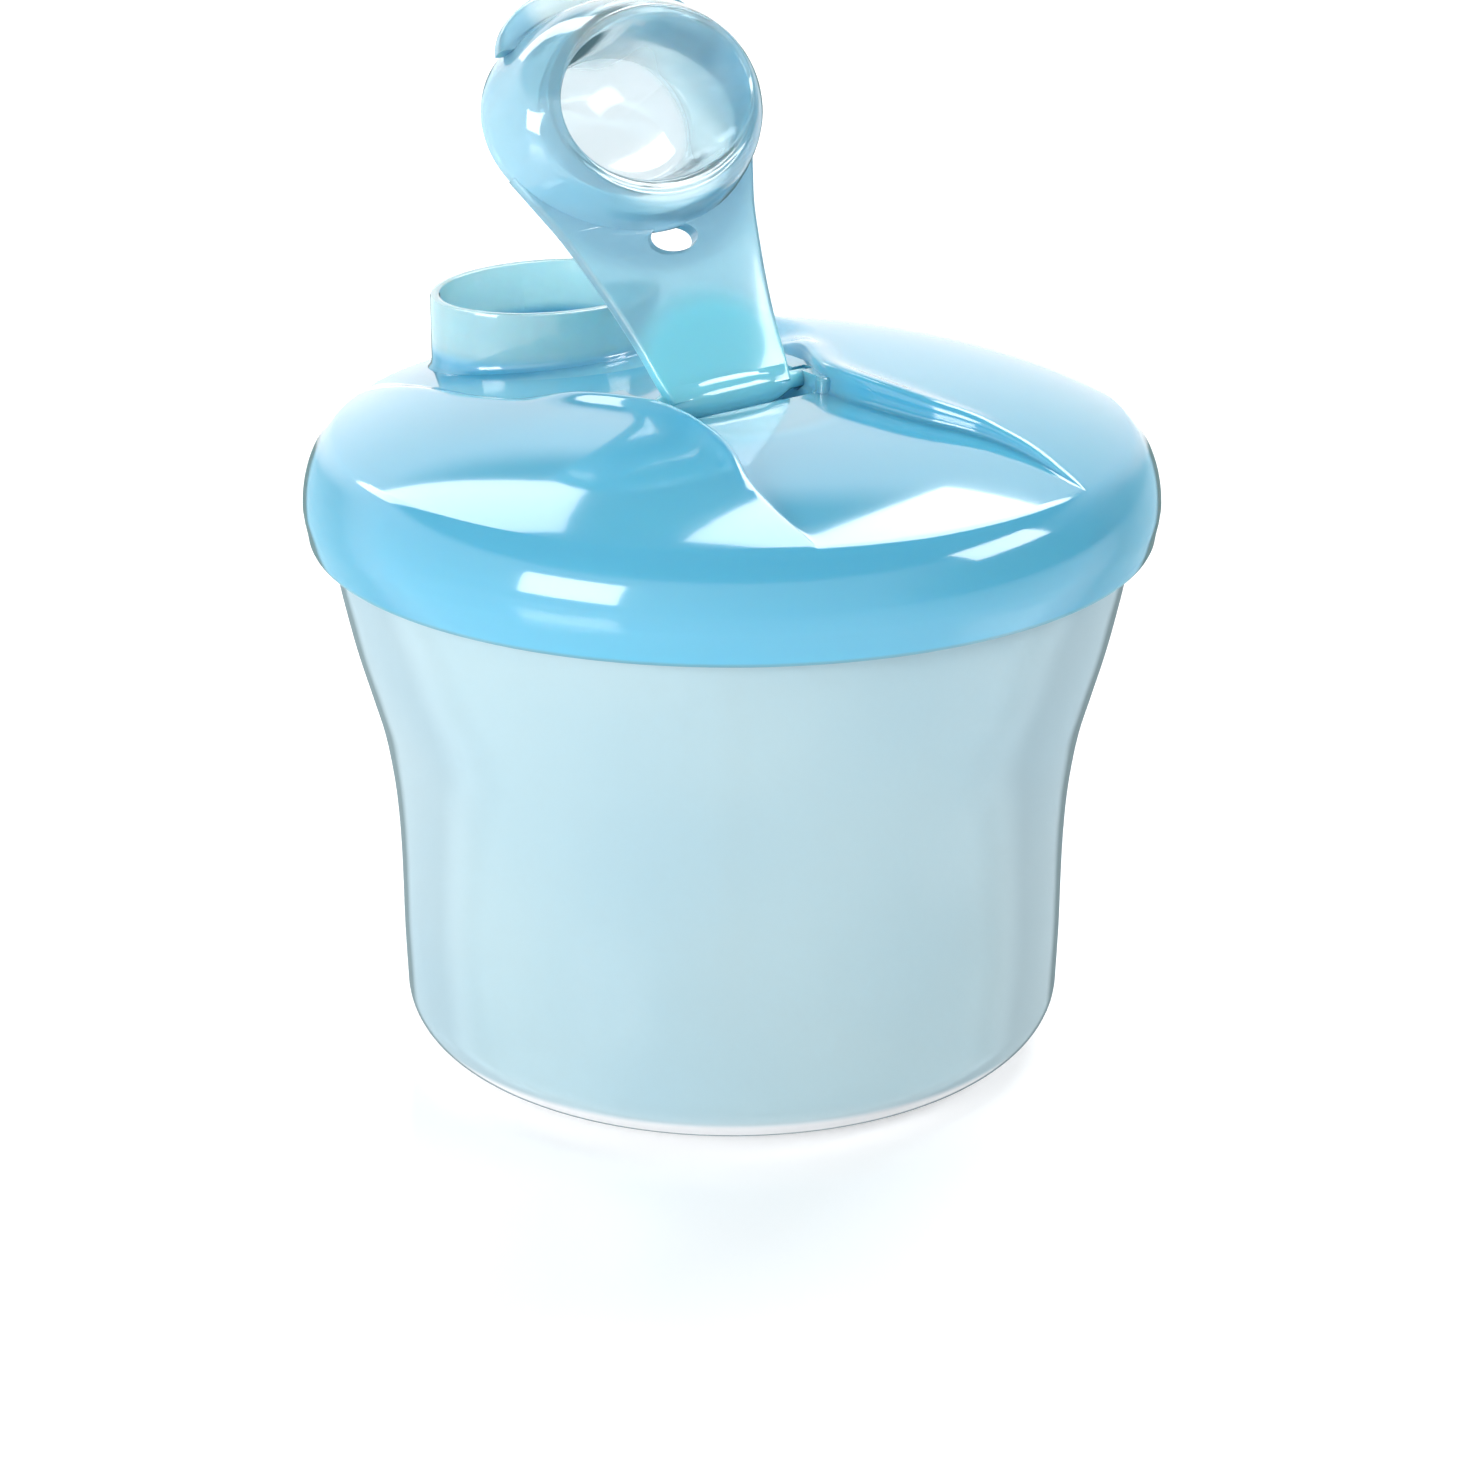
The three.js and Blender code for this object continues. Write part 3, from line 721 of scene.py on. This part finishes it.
def spoutTube(cut):
    # the oval tube, or the bore through it
    bm = bmesh.new()
    rim, wall, foot = spout["rim"], spout["wall"], spout["foot"]
    if cut:
        rows = [(-wall, 60), (-wall, rim + 5)]
    else:
        rows = [(foot + 0.3, 0), (foot, 0.9), (foot * 0.45, 1.15), (foot * 0.12, 1.5),
                (0, 2.0), (0, rim - 0.4), (-0.1, rim - 0.12), (-0.38, rim), (-wall + 0.38, rim),
                (-wall + 0.1, rim - 0.12), (-wall, rim - 0.4), (-wall - 0.4, rim - 0.9)]
    spinProfile(bm, [(0, 0)] + [(1, i) for i in range(len(rows))] + [(0, len(rows) - 1)], spout["steps"])
    for v in bm.verts:
        out, z = rows[round(v.co.z)]
        away = math.hypot(v.co.x, v.co.y) > 0.5
        x = capLine["spoutAt"] + v.co.x * (spout["along"] + out)
        y = v.co.y * (spout["across"] + out)
        if z < 10:
            z += channelHeight(axisDistance(x, y)) - 0.9 if away else 77
        v.co = (x, y, z)
    toCapLine(bm)
    return makeObject(bm, "spoutTube")


pivot = {
    "pocketHalf": 10.9, "pocketBack": -4.3, "pocketFront": 4.5, "pocketFloor": 79.9,
    "lugHalf": 14.6, "lugFrom": 10.7, "hole": 1.45, "holeHalf": 13.1, "corner": 1.1, "lip": 0.35,
}


def roundedBlock(x0, x1, half, levels, corner):
    # an upright block with rounded corners; levels are (height, spread)
    bm = bmesh.new()
    bmesh.ops.create_grid(bm, x_segments=1, y_segments=1, size=1)
    for v in bm.verts:
        v.co = (x1 if v.co.x > 0 else x0, half * v.co.y, levels[0][0])
    if corner:
        bmesh.ops.bevel(bm, geom=bm.verts[:], affect="VERTICES", offset=corner, segments=6, profile=0.5,
                        material=-1)
    face = bm.faces[:][0] if len(bm.faces) == 1 else max(bm.faces, key=lambda f: f.calc_area())
    spread = levels[0][1]
    middle = (x0 + x1) / 2
    long, broad = (x1 - x0) / 2, half
    for i, (z, wider) in enumerate(levels[1:]):
        face = pushFace(bm, face, i == 0)
        for v in face.verts:
            v.co.x = middle + (v.co.x - middle) * (long + wider) / (long + spread)
            v.co.y *= (broad + wider) / (broad + spread)
            v.co.z = z
        spread = wider
    faceOut(bm)
    return bm


def pinRod(radius, half):
    bm = bmesh.new()
    bmesh.ops.create_cone(bm, cap_ends=True, segments=32, radius1=radius, radius2=radius, depth=2 * half,
                          matrix=Matrix.Rotation(math.pi / 2, 4, "X"))
    toCapLine(bm, capLine["hingeZ"])
    return makeObject(bm, "pinRod")


def makeLid(material):
    obj = lidShell()
    wall, p = lid["wall"], pivot
    top = capLine["hingeZ"] + 1.2
    combine(obj, spoutTube(False), "UNION")
    combine(obj, spoutTube(True), "DIFFERENCE")
    below = roundedBlock(p["pocketBack"] - wall, p["pocketFront"] + wall, p["lugHalf"],
                         [(p["pocketFloor"] - wall, 0), (lid["channelApex"] - 0.6, 0)], 1.6)
    toCapLine(below)
    combine(obj, makeObject(below, "pocketShell"), "UNION")
    # the lugs reach a little into the pocket's shell and room, so that no two faces coincide
    start, end = p["lugFrom"], p["lugHalf"] - 0.05
    for side in (-1, 1):
        lug = roundedBlock(p["pocketBack"] - wall + 0.07, p["pocketFront"] + wall - 0.07, (end - start) / 2,
                           [(p["pocketFloor"] - 0.6, 0), (top - 0.3, 0), (top, -0.3)], 0.8)
        bmesh.ops.translate(lug, verts=lug.verts, vec=(0, side * (start + end) / 2, 0))
        toCapLine(lug)
        combine(obj, makeObject(lug, "lug"), "UNION")
    brim = lid["channelApex"]
    room = roundedBlock(p["pocketBack"], p["pocketFront"], p["pocketHalf"],
                        [(p["pocketFloor"], 0), (brim - 0.3, 0), (brim + 0.1, p["lip"]), (95, p["lip"])],
                        p["corner"])
    toCapLine(room)
    combine(obj, makeObject(room, "pocketRoom"), "DIFFERENCE")
    combine(obj, pinRod(p["hole"], p["holeHalf"]), "DIFFERENCE")
    return dress(obj, "lidShell", material, "lid", "lid", 42)


# the flip cap

arm = {
    "under": 0.6, "over": 2.2, "edge": 0.45,
    "slotAt": 20, "slotSide": -0.7, "slotAcross": 3.4, "slotAlong": 1.9,
}

# half width of the arm from the hinge to the head
armHalf = [
    [-0.6, 8.8], [2.5, 9.5], [7, 10.2], [12.5, 11.4], [18, 12.9], [22.5, 14.3], [26.5, 16], [31, 18],
]

# rings of the head, outside and lip and down the well: half length, half width, centre, height, slope
headRings = [
    (14.1, 18.4, 35.9, 0.6, 0), (14.45, 18.75, 35.9, 0.72, 0), (14.6, 18.9, 35.9, 1.1, 0),
    (14.6, 18.9, 35.9, 2.2, 0), (14.2, 18.3, 35.85, 5, 0.05), (13.2, 17.3, 35.6, 8, 0.14),
    (11.5, 15.5, 35, 10.1, 0.25), (10.5, 14.6, 34.7, 10.75, 0.34), (10, 14.25, 34.7, 10.95, 0.365),
    (9.5, 14.05, 34.8, 10.8, 0.372), (9.1, 13.7, 34.77, 10, 0.372), (8.95, 12.8, 35.1, 7, 0.22),
    (8.6, 11.5, 35.8, 3.4, 0.06), (8.3, 10.8, 36.1, 1.9, 0.02), (7.8, 10.2, 36.1, 1.6, 0.04),
    (5.2, 6.8, 36.1, 1.82, 0.05), (2.6, 3.4, 36.1, 1.93, 0.05), (0.6, 0.8, 36.1, 1.95, 0.05),
]

# the room under the head: up the skirt, over, and down the plug
roomRings = [
    (13.6, 17.8, 35.9, -1, 0), (13.55, 17.7, 35.9, 2.4, 0.01), (13.1, 16.9, 35.8, 6.2, 0.08),
    (12, 15.9, 35.5, 8.5, 0.19), (11, 15.1, 35.2, 9.5, 0.27), (10.3, 14.7, 35.05, 9.3, 0.28),
    (10.15, 13.9, 35.4, 7, 0.18), (9.9, 13.1, 35.9, 4, 0.06), (9.5, 12, 36.1, 1.3, 0),
    (8.7, 11.2, 36.1, 0.4, 0),
]

tab = {"at": 44.2, "along": 8.95, "across": 15.4, "under": 3.6, "over": 5.6, "edge": 0.6, "slope": 0.03}

# the barrel on the hinge axis: radius at distances from the middle
barrel = [[2.65, 0], [2.6, 3], [2.35, 5.7], [1.9, 7.8], [1.3, 9.3], [1.1, 9.9]]


def softRings(rings, each):
    # more rings on a soft curve through the given ones
    steps = each * (len(rings) - 1)
    columns = [smoothTable([[i, ring[j]] for i, ring in enumerate(rings)], steps) for j in range(5)]
    return [tuple(column[i][1] for column in columns) for i in range(steps + 1)]


def ringSkin(rings, steps):
    # a closed skin through a list of rings
    bm = bmesh.new()
    count = len(rings)
    spinProfile(bm, [(0, 0)] + [(1, i) for i in range(count)] + [(0, count - 1)], steps)
    for v in bm.verts:
        long, wide, at, up, slope = rings[round(v.co.z)]
        v.co = (at + long * v.co.x, wide * v.co.y, up + slope * long * v.co.x)
    faceOut(bm)
    return bm


def placeCap(bm):
    # from the cap's own frame to where it stands open
    bmesh.ops.rotate(bm, verts=bm.verts, cent=(0, 0, 0),
                     matrix=Matrix.Rotation(-math.radians(capLine["open"]), 3, "Y"))
    toCapLine(bm, capLine["hingeZ"])


def armPlate():
    # the arm's plan, pushed up through levels that round its long edges
    bm = bmesh.new()
    half = smoothTable(armHalf, 70)
    outline = [(u, -v) for u, v in half] + [(u, v) for u, v in half[::-1]]
    e = arm["edge"]
    bend = [(e * (1 - math.sin(math.pi * i / 10)), e * (1 - math.cos(math.pi * i / 10))) for i in range(6)]
    levels = [(arm["under"] + rise, inset) for inset, rise in bend]
    levels += [(arm["over"] - rise, inset) for inset, rise in bend[::-1]]
    face = bm.faces.new([bm.verts.new((u, v, 0)) for u, v in outline])
    for i, (z, inset) in enumerate(levels):
        if i:
            face = pushFace(bm, face, i == 1)
        for v in face.verts:
            v.co.y = math.copysign(valueAt(half, v.co.x) - inset, v.co.y)
            v.co.z = z
    faceOut(bm)
    bmesh.ops.triangulate(bm, faces=[f for f in bm.faces if len(f.verts) > 4])
    return bm


def headShell():
    # one skin: well floor, well, lip, outside, foot, then the room under the head and the plug's end
    outer = softRings(headRings[3:], 3)
    foot = [(13.8, 18.0, 35.9, 0.6, 0), (13.6, 17.8, 35.9, 0.85, 0)]
    return ringSkin((headRings[:3] + outer)[::-1] + foot + softRings(roomRings[1:], 3), 128)


def headCore():
    # the middle of the head's wall, closed off above the tab
    return ringSkin([(14.1, 18.3, 35.9, -1, 0), (14.1, 18.3, 35.9, 2.2, 0), (13.75, 17.7, 35.85, 5, 0.06),
                     (12.75, 16.7, 35.55, 8, 0.15)], 96)


def tabSkin():
    e, half = tab["edge"], []
    for i in range(5):
        a = math.pi / 2 * i / 4
        half.append((e * (1 - math.sin(a)), e * (1 - math.cos(a))))
    levels = [(inset, tab["under"] + rise) for inset, rise in half]
    levels += [(inset, tab["over"] - rise) for inset, rise in half[::-1]]
    bm = ringSkin([(tab["along"] - inset, tab["across"] - inset, tab["at"], up, tab["slope"])
                   for inset, up in levels], 96)
    bmesh.ops.bisect_plane(bm, geom=bm.verts[:] + bm.edges[:] + bm.faces[:],
                           plane_co=(tab["at"] + 1.5, 0, 0), plane_no=(-1, 0, 0), clear_outer=True)
    bmesh.ops.holes_fill(bm, edges=[edge for edge in bm.edges if edge.is_boundary])
    faceOut(bm)
    return bm


def barrelSkin():
    profile = smoothTable(barrel, 20) + [[1.1, 12.3], [1.0, 12.5], [0.8, 12.6]]
    bm = bmesh.new()
    spinProfile(bm, [[0, -12.6]] + [[r, -y] for r, y in profile[::-1]] + profile[1:] + [[0, 12.6]], 40)
    bmesh.ops.rotate(bm, verts=bm.verts, cent=(0, 0, 0), matrix=Matrix.Rotation(math.pi / 2, 3, "X"))
    return bm


def makeCap(material):
    def ready(bm, name):
        placeCap(bm)
        return makeObject(bm, name)

    cap = ready(headShell(), "head")
    plate = ready(armPlate(), "arm")
    combine(plate, ready(headCore(), "core"), "DIFFERENCE")
    thumb = ready(tabSkin(), "thumb")
    combine(thumb, ready(headCore(), "core"), "DIFFERENCE")
    combine(plate, ready(barrelSkin(), "barrel"), "UNION")
    slot = ringSkin([(arm["slotAlong"], arm["slotAcross"], arm["slotAt"], z, 0) for z in (-2, 6)], 48)
    bmesh.ops.translate(slot, verts=slot.verts, vec=(0, arm["slotSide"], 0))
    combine(plate, ready(slot, "slot"), "DIFFERENCE")
    combine(cap, plate, "UNION")
    combine(cap, thumb, "UNION")
    return dress(cap, "flipCap", material, "cap", "cap", 40)


# every piece in its place

makeCup(makePlastic("cup"))
makeDivider(makePlastic("divider"))
makeLid(makePlastic("lid"))
makeCap(makePlastic("cap"))
print("pieces are in place")


# floor, light and camera

studio = {
    "leftGlow": 1.4, "rightGlow": 0.65, "frontGlow": 1.1, "backGlow": 1.25,
    "leftFlag": 0.8, "rightFlag": 0.2, "wallTop": 0.5, "ceilingFrom": 0.62, "ceiling": 0.15,
    "floor": (0.93, 0.94, 0.945), "floorGlow": 0.22, "floorSize": 6,
    "lens": 103.56, "cameraAt": (0, -0.487228, 0.225393), "cameraTilt": 69.488,
    "shiftX": -0.00137, "shiftY": -0.02278,
}

softboxes = [
    # azimuth, height angle, distance, width, height, brightness
    {"azimuth": -132, "rise": 14, "away": 1.3, "wide": 0.62, "high": 0.46, "shine": 9},
    {"azimuth": -7, "rise": 31.5, "away": 1.3, "wide": 0.6, "high": 0.33, "shine": 8},
]

# a tilted window of two panes behind the object, with a bar between them
window = {"azimuth": 100, "rise": 45, "away": 1.5, "roll": 29}
panes = [
    # left, right, bottom and top edge, from the window's middle
    {"left": -1.3, "right": -0.27, "bottom": -0.49, "top": 0.5, "shine": 6},
    {"left": 0.045, "right": 1.0, "bottom": 0.0, "top": 0.46, "shine": 4.5},
]


def makeFloor():
    bm = bmesh.new()
    bmesh.ops.create_grid(bm, x_segments=4, y_segments=4, size=studio["floorSize"] / 2)
    mesh = bpy.data.meshes.new("floor")
    bm.to_mesh(mesh)
    bm.free()
    obj = bpy.data.objects.new("floor", mesh)
    obj.location.z = -0.0002
    bpy.context.collection.objects.link(obj)
    material = bpy.data.materials.new("floorSheet")
    material.use_nodes = True
    nodes, links = material.node_tree.nodes, material.node_tree.links
    shader = nodes["Principled BSDF"]
    place = nodes.new("ShaderNodeTexCoord")
    mottle = nodes.new("ShaderNodeTexNoise")
    mottle.inputs["Scale"].default_value = 9
    links.new(place.outputs["Object"], mottle.inputs["Vector"])
    tone = nodes.new("ShaderNodeMapRange")
    tone.inputs["To Min"].default_value = 0.12
    tone.inputs["To Max"].default_value = 0.16
    links.new(mottle.outputs["Fac"], tone.inputs["Value"])
    links.new(tone.outputs["Result"], shader.inputs["Roughness"])
    shader.inputs["Base Color"].default_value = (*studio["floor"], 1)
    shader.inputs["Emission Color"].default_value = (1, 1, 1, 1)
    shader.inputs["Emission Strength"].default_value = studio["floorGlow"]
    mesh.materials.append(material)


def makeLights():
    world = bpy.data.worlds.new("studio")
    bpy.context.scene.world = world
    world.use_nodes = True
    nodes, links = world.node_tree.nodes, world.node_tree.links
    background = nodes["Background"]
    background.inputs["Color"].default_value = (1, 1, 1, 1)
    place = nodes.new("ShaderNodeTexCoord")
    parts = nodes.new("ShaderNodeSeparateXYZ")
    links.new(place.outputs["Generated"], parts.inputs["Vector"])
    x, y, z = (parts.outputs[name] for name in "XYZ")
    glow = product(nodes, links, plainMap(nodes, links, x, studio["leftGlow"], studio["rightGlow"]),
                   plainMap(nodes, links, y, studio["frontGlow"], studio["backGlow"]))
    for side, flag in ((-1, "leftFlag"), (1, "rightFlag")):
        # a dark screen beside the object
        screen = mapTo(nodes, links, x, 1, studio[flag], 0.55 * side, side)
        glow = product(nodes, links, glow, screen)
    above = mapTo(nodes, links, z, 1, studio["ceiling"], studio["wallTop"], studio["ceilingFrom"])
    links.new(product(nodes, links, glow, above), background.inputs["Strength"])
    for box in softboxes:
        addPanel(box, 0, 0, box["wide"], box["high"], box["shine"])
    for pane in panes:
        addPanel(window, (pane["left"] + pane["right"]) / 2, (pane["bottom"] + pane["top"]) / 2,
                 pane["right"] - pane["left"], pane["top"] - pane["bottom"], pane["shine"])


def plainMap(nodes, links, source, start, end):
    # a value that goes evenly from start to end as the source goes from -1 to 1
    change = nodes.new("ShaderNodeMapRange")
    change.inputs["From Min"].default_value = -1
    change.inputs["To Min"].default_value = start
    change.inputs["To Max"].default_value = end
    links.new(source, change.inputs["Value"])
    return change.outputs["Result"]


def addPanel(place, across, up, wide, high, shine):
    # a flat lamp that faces the object, moved across and up in its own plane
    turn, rise = math.radians(place["azimuth"]), math.radians(place["rise"])
    away = Vector((math.cos(turn) * math.cos(rise), math.sin(turn) * math.cos(rise), math.sin(rise)))
    sideways = Vector((-math.sin(turn), math.cos(turn), 0))
    roll = Matrix.Rotation(-math.radians(place.get("roll", 0)), 3, away)
    right, top = roll @ sideways, roll @ away.cross(sideways)
    data = bpy.data.lights.new("panel", "AREA")
    data.shape = "RECTANGLE"
    data.size, data.size_y = wide, high
    data.energy = shine * math.pi * wide * high
    lamp = bpy.data.objects.new("panel", data)
    lamp.location = Vector((0, 0, 0.075)) + away * place["away"] + right * across + top * up
    lamp.rotation_euler = Matrix((right, top, away)).transposed().to_euler()
    bpy.context.collection.objects.link(lamp)


def makeCamera():
    data = bpy.data.cameras.new("camera")
    data.sensor_width = 36
    data.lens = studio["lens"]
    data.shift_x = studio["shiftX"]
    data.shift_y = studio["shiftY"]
    data.clip_start = 0.01
    obj = bpy.data.objects.new("camera", data)
    obj.location = studio["cameraAt"]
    obj.rotation_euler = (math.radians(studio["cameraTilt"]), 0, 0)
    bpy.context.collection.objects.link(obj)
    bpy.context.scene.camera = obj


makeFloor()
makeLights()
makeCamera()
bpy.context.scene.view_settings.view_transform = "Standard"
print("floor, lights and camera are in place")
